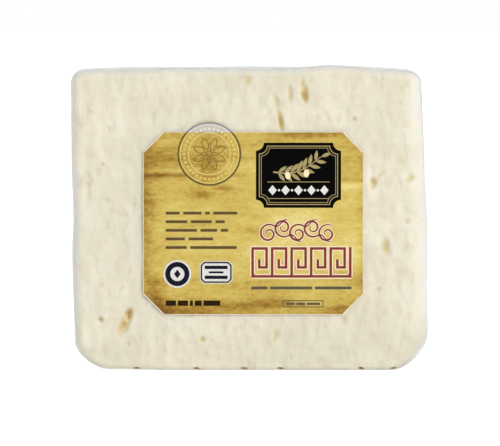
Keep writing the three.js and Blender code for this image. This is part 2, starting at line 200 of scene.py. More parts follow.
def skin(shrink, cell, edge_steps, band_steps, thin=0.0):
    """The block's whole closed surface: points in millimetres, quads, and how far round towards
    the narrow sides each point lies, from 0 on the broad faces to 1. Each broad face is a grid
    stretched between the four stretches of the outline: the sum of its blends across and upright,
    less the blend of its four corners, eased by moving each point to the mean of its four
    neighbours again and again, so that nothing folds at the corners. Loops round the outline join
    the two grids, a quarter turn over each edge and straight over the narrow sides. shrink gives
    how far the outline is drawn in for an outward direction, and thin is taken off each face."""
    stretches = block_outline()
    length = [np.linalg.norm(np.diff(s, axis=0), axis=1).sum() for s in stretches]
    wide = round((length[0] + length[2]) / 2 / cell)
    tall = round((length[1] + length[3]) / 2 / cell)
    loop = np.concatenate([evenly(s, n) for s, n in zip(stretches, (wide, tall, wide, tall))])
    step = np.roll(loop, -1, axis=0) - np.roll(loop, 1, axis=0)
    out = np.stack([step[:, 1], -step[:, 0]], axis=1) / np.linalg.norm(step, axis=1)[:, None]
    out = blurred(out, cell, OUTLINE_BLUR["direction"])
    out /= np.linalg.norm(out, axis=1)[:, None]
    loop = loop - blurred(out * shrink(out)[:, None], cell, OUTLINE_BLUR["place"])
    inset = blurred(out * by_side(EDGE_ROUNDING, out)[:, None], cell, OUTLINE_BLUR["rounding"])
    deep = by_side(EDGE_DEPTH, out)
    half = THICK / 2 - thin
    lowest = shrink(np.array([[0.0, -1.0]]))[0]

    def ring(side, turn, through):
        flat = loop - inset * (1 - math.cos(turn))
        x, z = flat[:, 0], flat[:, 1]
        y = side * (half - deep * (1 - math.sin(turn))) * through
        rise = NARROW_SHARE * uneven(x, y, z) * math.cos(turn)
        lift = side * face_rise(x, side * THICK, z) * math.sin(turn)
        height = np.maximum(z + out[:, 1] * rise, lowest)
        return np.stack([x + out[:, 0] * rise, y + lift, height], axis=1)

    def grid(side):
        foot, right, top, left = four_edges(loop - inset, wide, tall)
        u = np.linspace(0, 1, wide + 1)[None, :, None]
        v = np.linspace(0, 1, tall + 1)[:, None, None]
        flat = (1 - v) * foot[None] + v * top[None] + (1 - u) * left[:, None] + u * right[:, None]
        flat -= (1 - v) * ((1 - u) * foot[0] + u * foot[-1]) + v * ((1 - u) * top[0] + u * top[-1])
        for _ in range(EASING_ROUNDS):
            flat[1:-1, 1:-1] = (flat[:-2, 1:-1] + flat[2:, 1:-1] + flat[1:-1, :-2] + flat[1:-1, 2:]) / 4
        x, z = flat[..., 0], flat[..., 1]
        return np.stack([x, side * (half + face_rise(x, side * THICK, z)), z], axis=2)[1:-1, 1:-1]

    turns = np.linspace(math.pi / 2, 0, edge_steps + 1)
    rings = [ring(-1, turn, 1) for turn in turns]
    rings += [ring(-1, 0, through) for through in np.linspace(1, -1, band_steps + 1)[1:-1]]
    rings += [ring(1, turn, 1) for turn in turns[::-1]]
    inner = np.stack([grid(-1), grid(1)]).reshape(-1, 3)
    points = np.concatenate([*rings, inner])
    turned = np.concatenate([np.cos(turns), np.ones(band_steps - 1), np.cos(turns[::-1])])
    turned = np.concatenate([np.repeat(turned, len(loop)), np.zeros(len(inner))])

    ring_at = np.arange(len(rings) * len(loop)).reshape(len(rings), len(loop))
    following = np.roll(ring_at, -1, axis=1)
    around = np.stack([ring_at[:-1], ring_at[1:], following[1:], following[:-1]], axis=-1).reshape(-1, 4)

    def face_quads(edge, start):
        at = np.empty((tall + 1, wide + 1), int)
        at[0], at[:, -1], at[-1], at[:, 0] = four_edges(edge, wide, tall)
        at[1:-1, 1:-1] = start + np.arange((tall - 1) * (wide - 1)).reshape(tall - 1, wide - 1)
        return np.stack([at[:-1, :-1], at[:-1, 1:], at[1:, 1:], at[1:, :-1]], axis=-1).reshape(-1, 4)

    front = face_quads(ring_at[0], ring_at.size)
    back = face_quads(ring_at[-1], ring_at.size + len(inner) // 2)[:, ::-1]
    return points, np.concatenate([around, front, back]), turned


def make_piece(name, points, faces, material, smooth=True):
    """One mesh object, moved to where the solids stand, from points in millimetres and a list of
    face arrays, one for each number of corners."""
    corners = np.concatenate([group.ravel() for group in faces])
    counts = np.concatenate([np.full(len(group), group.shape[1]) for group in faces])
    mesh = bpy.data.meshes.new(name)
    mesh.vertices.add(len(points))
    mesh.vertices.foreach_set("co", (points * MM + STAND).ravel())
    mesh.loops.add(len(corners))
    mesh.loops.foreach_set("vertex_index", corners.astype(np.int32))
    mesh.polygons.add(len(counts))
    mesh.polygons.foreach_set("loop_start", (np.cumsum(counts) - counts).astype(np.int32))
    mesh.polygons.foreach_set("use_smooth", np.full(len(counts), smooth))
    mesh.update(calc_edges=True)
    mesh.materials.append(material)
    piece = bpy.data.objects.new(name, mesh)
    bpy.context.scene.collection.objects.link(piece)
    return piece


def point_values(piece, name, values):
    """Stores one number for each point of a piece, for its material to read."""
    layer = piece.data.attributes.new(name, "FLOAT", "POINT")
    layer.data.foreach_set("value", np.asarray(values, np.float32))


def srgb(red, green, blue):
    """A screen colour from 0 to 255 as the light that it stands for."""
    c = np.array([red, green, blue]) / 255
    linear = np.where(c <= 0.04045, c / 12.92, ((c + 0.055) / 1.055) ** 2.4)
    return (*linear.tolist(), 1.0)


def no_gap(out):
    """No distance at all, whatever the outward direction."""
    return np.zeros(len(out))


# Where the solid stands: the middle of its box, less the middle of the same form made here.
solid_low, solid_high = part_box("feta_block")
form_points, _, _ = skin(no_gap, **FORM_MESH)
form_middle = (form_points.min(0) + form_points.max(0)) / 2
STAND = np.array((solid_low + solid_high) / 2) - form_middle * MM
STAND[2] = 0

# Curd holes on the front: across, up, half length, half width, lean in degrees, depth, whey.
FRONT_HOLES = [
    (16.8, 83.3, 2.5, 1.35, -4, 1.3, 0.9),
    (16.2, 86.4, 2.1, 0.85, -6, 0.7, 0.5),
    (9.5, 75.4, 3.2, 1.05, -11, 1.2, 0.8),
    (8.2, 81.0, 3.4, 0.9, -10, 0.6, 0.32),
    (12.4, 83.2, 2.8, 0.95, -4, 0.9, 0.42),
    (-0.2, 87.7, 2.2, 1.0, 4, 0.6, 0.4),
    (31.7, 75.8, 0.8, 0.7, 0, 0.9, 0.6),
    (37.4, 56.7, 1.8, 1.4, 22, 1.2, 0.55),
    (39.7, 59.2, 1.9, 1.0, 50, 0.5, 0.28),
    (48.6, 58.0, 1.6, 1.1, 30, 1.1, 0.55),
    (47.7, 45.0, 0.9, 0.7, 60, 0.6, 0.3),
    (48.6, 52.5, 1.0, 0.5, 0, 0.4, 0.22),
    (41.2, 37.3, 2.5, 1.6, -8, 0.9, 0.44),
    (39.0, 24.5, 1.2, 0.8, 13, 0.7, 0.35),
    (44.8, 24.8, 1.1, 0.6, 80, 0.5, 0.25),
    (28.6, 15.4, 1.9, 1.1, 9, 0.6, 0.3),
    (8.1, 10.8, 2.5, 1.1, 3, 0.6, 0.34),
    (-14.1, 9.4, 1.3, 1.0, -58, 0.9, 0.55),
    (-36.2, 16.9, 2.3, 1.25, 15, 1.5, 0.85),
    (-37.7, 14.1, 4.5, 1.6, 29, 1.0, 0.56),
    (-44.7, 15.4, 0.8, 0.8, 0, 1.1, 0.75),
    (-36.5, 8.2, 1.0, 0.8, -20, 0.6, 0.35),
    (-44.1, 62.2, 0.9, 0.8, -59, 0.6, 0.4),
    (-48.4, 56.2, 1.4, 1.0, 70, 0.5, 0.22),
    (-48.8, 52.3, 4.4, 1.2, 3, 0.5, 0.08),
    (-38.7, 24.8, 1.4, 0.7, 38, 0.5, 0.22),
    (-44.7, 25.4, 1.1, 0.5, 88, 0.5, 0.28),
    (-46.2, 33.8, 1.6, 0.8, -60, 0.4, 0.15),
    (46.8, 66.5, 3.2, 0.9, -2, 0.15, 0.1),
    (21.6, 82.0, 1.9, 0.7, -68, 0.4, 0.2),
    (-23.3, 15.4, 0.9, 0.6, 77, 0.5, 0.25),
    (23.6, 76.1, 1.8, 1.0, -29, 0.35, 0.12),
    (42.3, 76.4, 2.0, 0.9, -27, 0.35, 0.12),
    (35.6, 40.2, 2.4, 0.6, 1, 0.3, 0.12),
]

# Notches along the foot: where they are, and for all of them the place in from the front and up,
# the way in, lean in degrees, half length, half width, depth, whey. The whey of 2.0 runs past 1.1,
# where it paints the dark brown shadow in the notch.
FOOT_NOTCHES = [-33.9, -15.8, -1.4, 9.5, 33.9, 43.6]
NOTCH_IN = 0.8
NOTCH_UP = 0.6
NOTCH = ((0, 0.93, 0.37), 90, 1.0, 0.55, 0.7, 2.0)

# The seeded holes of the other sides: how many, how far they reach to either side of the middle,
# and the span of their heights, sizes and leans.
BACK_HOLES = 26
BACK_REACH = 46
BACK_UP = (8, 86)
BACK_SIZE = (0.35, 1)
BACK_LEAN = (-25, 35)
SIDE_HOLES = 12
SIDE_AT = 53.2
SIDE_UP = (14, 80)
TOP_HOLES = 7
TOP_AT = 90.8
TOP_REACH = 44
NARROW_PLACE = (-7, 7)
NARROW_SIZE = (0.4, 1)
NARROW_LEAN = (-40, 40)

curd = np.random.default_rng(7)

# Lumps on the front: across, up, reach, rise. One stands out, and the rest are seeded.
FRONT_LUMPS = [(-47.1, 58.6, 1.1, 0.8)]
SEEDED_LUMPS = 26
SMALLEST_LUMP = (-50, 5, 0.6, 0.12)
LARGEST_LUMP = (50, 88, 1.1, 0.34)
FRONT_LUMPS += curd.uniform(SMALLEST_LUMP, LARGEST_LUMP, (SEEDED_LUMPS, 4)).tolist()

# How deep inside the block the front's marks die out, and over what depth. Then a hole's own form,
# in shares of its half length and width: its wavering rim, and how far out its floor and its whey
# begin. Last, how steeply the whey fills it, and how near its plane a point has to be.
FACE_FROM = 6
FACE_FADE = 4
RIM_WAVER = (0.12, 0.1)
HOLE_FLOOR_RIM = 1.25
WHEY_RIM = 1.15
WHEY_FALL = 0.8
HOLE_NEAR = 4

# Ripples of the broad faces: how many waves, length, height and spread of their leans.
UPRIGHT_RIPPLE = (50, 2.6, 0.035, 0.7)
ALL_WAYS_RIPPLE = (40, 5.2, 0.13, 3.0)
RIPPLE_SPAN = 0.6


def facing(y):
    """1 on the face that y points away from, falling off in a line to 0 inside the narrow sides."""
    return np.clip((-y - FACE_FROM) / FACE_FADE, 0, 1)


def lumped(points):
    """How far each point of the front rises: the sum of the lumps, each a bell shape."""
    x, y, z = points.T
    rise = 0
    for across, up, reach, high in FRONT_LUMPS:
        rise = rise + high * np.exp(-((x - across) ** 2 + (z - up) ** 2) / reach**2)
    return rise * facing(y)


def dents(points, place, inward, lean, long, wide, deep):
    """How far each point sinks at one hole, and how full of whey it is there. The hole is an
    ellipse in the plane across inward whose rim wavers with the angle round it, and whose floor
    falls with a smooth step from the rim. Points far off that plane stay as they are."""
    across = np.cross(inward, [0, 0, 1.0])
    across /= np.linalg.norm(across)
    along = np.cross(across, inward)
    lean = math.radians(lean)
    reach = points - place
    a, b, into = reach @ across, reach @ along, reach @ inward
    u = (a * math.cos(lean) - b * math.sin(lean)) / wide
    v = (a * math.sin(lean) + b * math.cos(lean)) / long
    angle = np.arctan2(u, v)
    start = curd.uniform(0, 2 * math.pi, 2)
    rim = 1 + RIM_WAVER[0] * np.sin(2 * angle + start[0]) + RIM_WAVER[1] * np.sin(3 * angle + start[1])
    r = np.sqrt(u**2 + v**2) / rim
    floor = np.clip(HOLE_FLOOR_RIM - r, 0, 1)
    near = np.abs(into) < HOLE_NEAR
    full = np.clip(WHEY_RIM - r, 0, 1) ** WHEY_FALL
    return deep * floor * floor * (3 - 2 * floor) * near, full * near


def waves_across(x, z, count, length, height, spread):
    """A sum of waves with seeded lengths, leans and starts. The leans spread about sideways, so
    that a small spread makes the crests stand upright and a large one makes them lie all ways."""
    total = np.zeros_like(x)
    for _ in range(count):
        long = length * math.exp(curd.uniform(-RIPPLE_SPAN, RIPPLE_SPAN))
        lean = curd.normal(0, spread)
        start = curd.uniform(0, 2 * math.pi)
        total += np.sin(2 * math.pi * (x * math.cos(lean) + z * math.sin(lean)) / long + start)
    return height * total / math.sqrt(count)


def strewn_place(k, count, reach):
    """A place from -reach to reach: in the middle of the k-th of count even steps, moved at random
    by up to four tenths of a step."""
    return -reach + 2 * reach * (k + curd.uniform(0.1, 0.9)) / count


def narrow_hole(place, inward, size):
    """A hole of a narrow side: its measures go with its size, and its lean is random."""
    lean = curd.uniform(*NARROW_LEAN)
    return place, inward, lean, 2 * size, size, 1.1 * size, 0.7 * size


CHEESE_INSET = dict(left=0.3, right=0.3, top=0.15, foot=0.08)
CHEESE_THIN = 0.03
CORNER_GAP = dict(left=0.35, right=0.85, upper=0.2)


def cheese_gap(out):
    """How far the cheese's outline lies inside the film's: by side, and more in the corners, as
    the square of how evenly the direction is shared between across and upright."""
    corner = (2 * out[:, 0] * out[:, 1]) ** 2
    lower = np.where(out[:, 0] > 0, CORNER_GAP["right"], CORNER_GAP["left"])
    return by_side(CHEESE_INSET, out) + corner * np.where(out[:, 1] < 0, lower, CORNER_GAP["upper"])


def front_place(across, up):
    """The point of the front at a place across and up."""
    return np.array([across, -(THICK / 2 + face_rise(across, -THICK, up)), up])


cheese_points, cheese_quads, cheese_turned = skin(cheese_gap, thin=CHEESE_THIN, **CHEESE_MESH)
x, y, z = cheese_points.T
whey_and_shadow = np.zeros(len(cheese_points))
sink = np.zeros_like(cheese_points)
ripple = waves_across(x, z, *UPRIGHT_RIPPLE) + waves_across(x, z, *ALL_WAYS_RIPPLE)
sink[:, 1] += (ripple - ripple.min()) * (facing(y) - facing(-y)) - lumped(cheese_points)

# Every hole: its place, its way in, lean, half length, half width, depth and whey; in the foot's
# notches the whey is set high enough to paint a dark shadow.
holes = []
for across, up, long, wide, lean, deep, fill in FRONT_HOLES:
    holes.append((front_place(across, up), (0, 1, 0), lean, long, wide, deep, fill))
for across in FOOT_NOTCHES:
    holes.append(((across, NOTCH_IN - THICK / 2, NOTCH_UP), *NOTCH))
for k in range(BACK_HOLES):
    across = strewn_place(k, BACK_HOLES, BACK_REACH)
    up = curd.uniform(*BACK_UP)
    size = curd.uniform(*BACK_SIZE)
    place = (across, THICK / 2 + face_rise(across, THICK, up), up)
    lean = curd.uniform(*BACK_LEAN)
    holes.append((place, (0, -1, 0), lean, 3.2 * size, 1.1 * size**0.5, 1.5 * size, 0.85 * size))
for k in range(SIDE_HOLES):
    up = curd.uniform(*SIDE_UP)
    across = curd.uniform(*NARROW_PLACE)
    side = 1 if k % 2 else -1
    size = curd.uniform(*NARROW_SIZE)
    holes.append(narrow_hole((side * SIDE_AT, across, up), (-side, 0.02, 0), size))
for k in range(TOP_HOLES):
    across = strewn_place(k, TOP_HOLES, TOP_REACH)
    size = curd.uniform(*NARROW_SIZE)
    place = (across, curd.uniform(*NARROW_PLACE), TOP_AT)
    holes.append(narrow_hole(place, (0, 0.02, -1), size))
for place, inward, lean, long, wide, deep, fill in holes:
    inward = np.array(inward) / np.linalg.norm(inward)
    depth, full = dents(cheese_points, np.array(place), inward, lean, long, wide, deep)
    sink += depth[:, None] * inward
    whey_and_shadow = np.maximum(whey_and_shadow, full * fill)

# Painted light on the cheese: a painted sheen of the film, a cooler grey-white cream round the
# sides and top where the film stands off it, and painted shade, greyer, in the two lower corners,
# where the film stands off further.
SHEEN_FROM = 10
SHEEN_RISE = 14
CORNER_SHADE_FROM = 34
CORNER_SHADE_RISE = 8
CORNER_SHADE_LEFT = 0.5
film_sheen = cheese_turned * np.clip((z - SHEEN_FROM) / SHEEN_RISE, 0, 1)
in_corner = np.clip((abs(x) - z - CORNER_SHADE_FROM) / CORNER_SHADE_RISE, 0, 1)
corner_shade = np.sqrt(cheese_turned) * in_corner * np.where(x > 0, 1, CORNER_SHADE_LEFT)
cheese_points = cheese_points + sink


def new_material(name):
    """An empty node material with its Principled shader, and that shader."""
    material = bpy.data.materials.new(name)
    material.use_nodes = True
    return material, material.node_tree.nodes["Principled BSDF"]


def noise(tree, scale, detail, roughness=0.5, stretch=(1, 1, 1), distortion=0.0):
    """The value of a noise pattern on Object coordinates, at scale features to the metre."""
    place = tree.nodes.new("ShaderNodeTexCoord")
    turn = tree.nodes.new("ShaderNodeMapping")
    turn.inputs["Scale"].default_value = stretch
    pattern = tree.nodes.new("ShaderNodeTexNoise")
    pattern.inputs["Scale"].default_value = scale
    pattern.inputs["Detail"].default_value = detail
    pattern.inputs["Roughness"].default_value = roughness
    pattern.inputs["Distortion"].default_value = distortion
    tree.links.new(place.outputs["Object"], turn.inputs["Vector"])
    tree.links.new(turn.outputs["Vector"], pattern.inputs["Vector"])
    return pattern.outputs["Fac"]


def mapped(tree, value, low, high, to_low=0.0, to_high=1.0):
    """A value carried from one range to another and held inside it."""
    node = tree.nodes.new("ShaderNodeMapRange")
    node.inputs["From Min"].default_value = low
    node.inputs["From Max"].default_value = high
    node.inputs["To Min"].default_value = to_low
    node.inputs["To Max"].default_value = to_high
    tree.links.new(value, node.inputs["Value"])
    return node.outputs["Result"]


def mixed(tree, factor, first, second):
    """Two colours mixed by a value; each colour is a constant or another node's output."""
    node = tree.nodes.new("ShaderNodeMix")
    node.data_type = "RGBA"
    tree.links.new(factor, node.inputs["Factor"])
    for name, colour in (("A", first), ("B", second)):
        socket = next(s for s in node.inputs if s.name == name and s.type == "RGBA")
        if isinstance(colour, tuple):
            socket.default_value = colour
        else:
            tree.links.new(colour, socket)
    return next(s for s in node.outputs if s.type == "RGBA")


def worked(tree, first, second, operation="ADD"):
    """Two values joined by one step of arithmetic; each is a number or another node's output."""
    node = tree.nodes.new("ShaderNodeMath")
    node.operation = operation
    for socket, value in zip(node.inputs, (first, second)):
        if isinstance(value, (int, float)):
            socket.default_value = value
        else:
            tree.links.new(value, socket)
    return node.outputs["Value"]


def bumped(tree, shader, height, strength, distance):
    """Sends a height through a Bump node to the shader's normal."""
    node = tree.nodes.new("ShaderNodeBump")
    node.inputs["Strength"].default_value = strength
    node.inputs["Distance"].default_value = distance
    tree.links.new(height, node.inputs["Height"])
    tree.links.new(node.outputs["Normal"], shader.inputs["Normal"])


def stored(tree, name):
    """The value that is stored for each point under a name."""
    node = tree.nodes.new("ShaderNodeAttribute")
    node.attribute_name = name
    return node.outputs["Fac"]


DARK_CREAM = srgb(230, 221, 198)
PALE_CREAM = srgb(239, 233, 214)
PATCH_CREAM = srgb(223, 217, 194)
DIMPLE_OCHRE = srgb(208, 196, 156)
# Painted light: a cool grey-white for the film's sheen round the sides, and a grey for the shade in the
# lower corners.
SHEEN_CREAM = srgb(229, 229, 224)
CORNER_SHADE = srgb(204, 202, 188)
SHALLOW_WHEY = srgb(213, 190, 116)
DEEP_WHEY = srgb(172, 124, 30)
# Painted shadow in the foot's notches.
NOTCH_SHADOW = srgb(84, 72, 46)


def curd_material():
    """Cream curd: two creams in soft upright mottles, a greyer one in patches, a painted sheen of the
    film as a cooler cream round the sides, painted shade of grey in the lower corners, and ochre where
    whey stands, darker with its depth, with a painted dark brown shadow in the foot's notches."""
    material, shader = new_material("fresh_curd")
    tree = material.node_tree
    mottle = noise(tree, scale=260, detail=3, roughness=0.55, stretch=(1, 1, 0.45))
    colour = mixed(tree, mapped(tree, mottle, low=0.36, high=0.64), DARK_CREAM, PALE_CREAM)
    patches = mapped(tree, noise(tree, scale=55, detail=2), low=0.4, high=0.62)
    dimples = noise(tree, scale=360, detail=2, roughness=0.5, stretch=(1, 1, 0.7))
    dimples = mapped(tree, dimples, low=0.58, high=0.74)
    # Masks of painted light: the film's sheen round the sides and the shade in the lower corners.
    painted_sheen_side = stored(tree, "film_sheen")
    painted_corner_shade = stored(tree, "corner_shade")
    for mask, share, tint in (
        (patches, 0.4, PATCH_CREAM),
        (dimples, 0.35, DIMPLE_OCHRE),
        (painted_sheen_side, 0.75, SHEEN_CREAM),
        (painted_corner_shade, 0.6, CORNER_SHADE),
    ):
        colour = mixed(tree, worked(tree, mask, share, "MULTIPLY"), colour, tint)
    pooled = mapped(tree, noise(tree, scale=800, detail=3), low=0.3, high=0.7, to_low=0.75, to_high=1.3)
    level = worked(tree, stored(tree, "whey_and_shadow"), pooled, "MULTIPLY")
    # Past 1.1 the level no longer means whey: it paints the dark brown shadow of the foot's notches.
    for starts, full, tint in (
        (0.05, 0.55, SHALLOW_WHEY),
        (0.5, 0.95, DEEP_WHEY),
        (1.1, 1.5, NOTCH_SHADOW),
    ):
        colour = mixed(tree, mapped(tree, level, starts, full), colour, tint)
    tree.links.new(colour, shader.inputs["Base Color"])
    shader.inputs["Roughness"].default_value = 0.5
    shader.inputs["Subsurface Weight"].default_value = 0.25
    shader.inputs["Subsurface Radius"].default_value = (1.0, 0.7, 0.4)
    shader.inputs["Subsurface Scale"].default_value = 0.0012
    grain = noise(tree, scale=560, detail=4, roughness=0.6, stretch=(1, 1, 0.6))
    crumb = noise(tree, scale=210, detail=2, roughness=0.5, stretch=(1, 1, 0.7))
    crumb = worked(tree, crumb, 2.2, "MULTIPLY")
    height = worked(tree, grain, worked(tree, dimples, 0.5, "MULTIPLY"), "SUBTRACT")
    bumped(tree, shader, worked(tree, height, crumb), strength=0.5, distance=0.0006)
    return material


cheese = make_piece("cheese", cheese_points, [cheese_quads], curd_material())
point_values(cheese, "whey_and_shadow", whey_and_shadow)
# Where the film's sheen and the lower corners' shade are painted on the cheese.
point_values(cheese, "film_sheen", film_sheen)
point_values(cheese, "corner_shade", corner_shade)
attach(cheese, "root")
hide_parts("feta_block")

# The film
# A clear bag, emptied of air and shrunk on, so tight that it bridges the holes and pulls into fine
# upright wrinkles. It stands a little off the cheese along the edges and in the lower corners.

FILM_THICK = 0.1
FILM_MESH = dict(cell=0.95, edge_steps=6, band_steps=16)
DIPPING_HOLES = 4
DIP_WIDER = 1.3
DIP_DEPTH = 0.25

film_points, film_quads, _ = skin(no_gap, **FILM_MESH)
film_points[:, 1] -= lumped(film_points)
for across, up, long, wide, lean, deep, _ in FRONT_HOLES[:DIPPING_HOLES]:
    inward = np.array((0.0, 1.0, 0.0))
    place = front_place(across, up)
    depth, _ = dents(film_points, place, inward, lean, long, DIP_WIDER * wide, DIP_DEPTH * deep)
    film_points[:, 1] += depth


def film_material():
    """Clear film: transmitting, glossy, its gloss broken by wrinkles drawn out upright."""
    material, shader = new_material("vacuum_film")
    tree = material.node_tree
    shader.inputs["Base Color"].default_value = srgb(254, 254, 253)
    shader.inputs["Roughness"].default_value = 0.14
    shader.inputs["IOR"].default_value = 1.42
    shader.inputs["Transmission Weight"].default_value = 1.0
    wrinkles = noise(tree, scale=300, detail=3, roughness=0.5, stretch=(1, 1, 0.16))
    bumped(tree, shader, wrinkles, strength=0.25, distance=0.0004)
    return material


film = make_piece("film", film_points, [film_quads], film_material())
film.visible_shadow = False
wall = film.modifiers.new("wall", "SOLIDIFY")
wall.thickness = FILM_THICK * MM
wall.offset = -1
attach(film, "root")
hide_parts("feta_block")

# The label's backing
# Uncoated paper under the printed sheet, glued to the film. It shows as a pale hairline round the
# sheet, because the print stops short of the cut edge.

LABEL_AT = (1.3, 44.5)
LABEL_WIDE = 66
LABEL_TALL = 54.8
LABEL_CLIP = 6.2
LABEL_BACK = 0.05
LABEL_FACE = 0.32
BACKING_FACE = LABEL_FACE - 0.08
BACKING_STEP = 1.5
BACKING_RINGS = 30
PRINT_MARGIN = 0.22
LABEL_LIGHT = 0.85


def on_label(u, v, lift):
    """The point across and up from the label's middle, lift off the block's front."""
    x, z = LABEL_AT[0] + u, LABEL_AT[1] + v
    return np.stack([x, -(THICK / 2 + face_rise(x, -THICK, z) + lift), z], axis=-1)


def dense(path, step, closed=False):
    """A line of corner points with more points let in, no more than step apart."""
    path = np.asarray(path, float)
    ends = np.roll(path, -1, axis=0) if closed else path[1:]
    parts = []
    for start, end in zip(path, ends):
        count = max(1, math.ceil(np.linalg.norm(end - start) / step))
        parts.append(start + (end - start) * np.arange(count)[:, None] / count)
    return np.concatenate(parts if closed else [*parts, path[-1:]])


def sheet_shape(outline, rings):
    """A thin closed sheet inside an outline given counter-clockwise: the outline drawn in to its
    middle in even steps, once for the face and once for the back. Points are across, up and 1 on
    the face or 0 on the back. Faces are the two fans of triangles and all the quads."""
    outline = np.asarray(outline, float)
    middle = (outline.min(0) + outline.max(0)) / 2
    shares = np.linspace(0, 1, rings + 1)[1:, None, None]
    layer = np.concatenate([middle[None], (middle + (outline - middle) * shares).reshape(-1, 2)])
    points = np.concatenate([np.c_[layer, np.ones(len(layer))], np.c_[layer, np.zeros(len(layer))]])
    ring = 1 + np.arange(rings * len(outline)).reshape(rings, len(outline))
    following = np.roll(ring, -1, axis=1)
    fan = np.stack([np.zeros(len(outline), int), ring[0], following[0]], axis=1)
    face = np.stack([ring[:-1], ring[1:], following[1:], following[:-1]], axis=-1).reshape(-1, 4)
    under = len(layer)
    edge = np.stack([ring[-1], ring[-1] + under, following[-1] + under, following[-1]], axis=1)
    fans = np.concatenate([fan, fan[:, ::-1] + under])
    return points, [fans, np.concatenate([face, face[:, ::-1] + under, edge])]


def label_piece(name, shapes, material, back, face):
    """One piece of the label from thin shapes, laid on the block's front from back to face."""
    starts = np.cumsum([0] + [len(points) for points, _ in shapes])
    u, v, layer = np.concatenate([points for points, _ in shapes]).T
    faces = [group + start for (_, groups), start in zip(shapes, starts) for group in groups]
    piece = make_piece(name, on_label(u, v, back + (face - back) * layer), faces, material, smooth=False)
    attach(piece, "root")
    return piece


def clipped_box(wide, tall, clip):
    """A rectangle with its corners clipped, counter-clockwise, about its middle."""
    a, b = wide / 2, tall / 2
    foot_and_right = [(clip - a, -b), (a - clip, -b), (a, clip - b), (a, b - clip)]
    return foot_and_right + [(-x, -y) for x, y in foot_and_right]


def fibre_group():
    """A node group for paper: fine fibres drawn out sideways, as a value and as a bumped normal.
    The value is a noise with Grain features to the metre upright and about half as many across."""
    tree = bpy.data.node_groups.new("paper_fibres", "ShaderNodeTree")
    for name, start in (("Grain", 900.0), ("Strength", 0.08), ("Height", 0.0001)):
        socket = tree.interface.new_socket(name, in_out="INPUT", socket_type="NodeSocketFloat")
        socket.default_value = start
    tree.interface.new_socket("Fibre", in_out="OUTPUT", socket_type="NodeSocketFloat")
    tree.interface.new_socket("Normal", in_out="OUTPUT", socket_type="NodeSocketVector")
    given = tree.nodes.new("NodeGroupInput")
    result = tree.nodes.new("NodeGroupOutput")
    fibre = noise(tree, scale=1, detail=3, roughness=0.6, stretch=(0.55, 1, 1))
    tree.links.new(given.outputs["Grain"], fibre.node.inputs["Scale"])
    bump = tree.nodes.new("ShaderNodeBump")
    tree.links.new(fibre, bump.inputs["Height"])
    tree.links.new(given.outputs["Strength"], bump.inputs["Strength"])
    tree.links.new(given.outputs["Height"], bump.inputs["Distance"])
    tree.links.new(mapped(tree, fibre, low=0.3, high=0.7), result.inputs["Fibre"])
    tree.links.new(bump.outputs["Normal"], result.inputs["Normal"])
    return tree


paper_fibres = fibre_group()


def fibres_in(tree, shader, grain, strength):
    """Places the fibre group in a material, joins its normal to the shader, and returns it."""
    node = tree.nodes.new("ShaderNodeGroup")
    node.node_tree = paper_fibres
    node.inputs["Grain"].default_value = grain
    node.inputs["Strength"].default_value = strength
    tree.links.new(node.outputs["Normal"], shader.inputs["Normal"])
    return node.outputs["Fibre"]


def printed(red, green, blue):
    """A colour of the label: the light of a screen colour times LABEL_LIGHT, because the lamps are
    set for the cheese and would light the paper too much."""
    return (*(LABEL_LIGHT * part for part in srgb(red, green, blue)[:3]), 1.0)


def backing_material():
    """Plain paper: two near whites in the pattern of its fibres, dull."""
    material, shader = new_material("backing_paper")
    tree = material.node_tree
    fibre = fibres_in(tree, shader, grain=900, strength=0.15)
    colour = mixed(tree, fibre, printed(232, 222, 194), printed(242, 234, 210))
    tree.links.new(colour, shader.inputs["Base Color"])
    shader.inputs["Roughness"].default_value = 0.6
    return material


backing_outline = clipped_box(LABEL_WIDE + 2 * PRINT_MARGIN, LABEL_TALL + 2 * PRINT_MARGIN, LABEL_CLIP)
backing = sheet_shape(dense(backing_outline, BACKING_STEP, closed=True), BACKING_RINGS)
label_piece("label_backing", [backing], backing_material(), LABEL_BACK, BACKING_FACE)

# The label's face
# A printed sheet with clipped corners. Its ground is an aged gold parchment, streaked sideways and
# browner towards its edges.

# The ground's soft spots: across, up, reach across, reach up, and how much darker it is there.
GROUND_SPOTS = [
    (-28, 19.5, 8, 3.6, 0.43),
    (-27, 14.4, 10, 0.75, 0.5),
    (-29, 16.0, 8, 0.6, -0.25),
    (-15.5, 8.6, 2.6, 1.3, 0.4),
    (-9, 10.6, 3.2, 0.8, 0.35),
    (-4, 14.6, 4, 0.6, 0.3),
    (0, 23.5, 9, 2, 0.12),
    (29, 13.4, 5, 0.8, 0.35),
    (29, 22, 4, 3, 0.2),
    (29, 11.4, 5, 0.9, -0.3),
    (-32, 4, 4, 12, 0.3),
    (-29.5, -22, 3.4, 5, 0.5),
    (-24, -26.4, 10, 1.8, 0.4),
    (4, -24.4, 14, 1.9, 0.34),
    (31, -4, 3.5, 9, -0.25),
    (20, -23, 9, 3, -0.2),
    (10, 2, 14, 8, -0.25),
    (18, -8, 10, 9, -0.18),
    (6, 17, 9, 2.2, -0.2),
    (-13.2, 19.5, 8.5, 8.5, 0.27),
    (12, 26.4, 15, 1.8, 0.18),
    (27, -25, 6, 3, 0.2),
    (-15, -8, 10, 8, -0.12),
]
EDGE_AGE = 0.2
EDGE_FROM = 0.86
GROUND_MIDDLE = 0.6
SHEET_STEP = 0.9
SHEET_RINGS = 54


def aged(u, v):
    """How much darker the ground is: the sum of the spots, each a bell shape, and a rise with the
    square of the way from EDGE_FROM of the half width or height out to the edge."""
    out = np.maximum(abs(u) / (LABEL_WIDE / 2), abs(v) / (LABEL_TALL / 2))
    age = EDGE_AGE * np.clip((out - EDGE_FROM) / (1 - EDGE_FROM), 0, 1) ** 2
    for across, up, reach_across, reach_up, dark in GROUND_SPOTS:
        age += dark * np.exp(-(((u - across) / reach_across) ** 2) - ((v - up) / reach_up) ** 2)
    return age


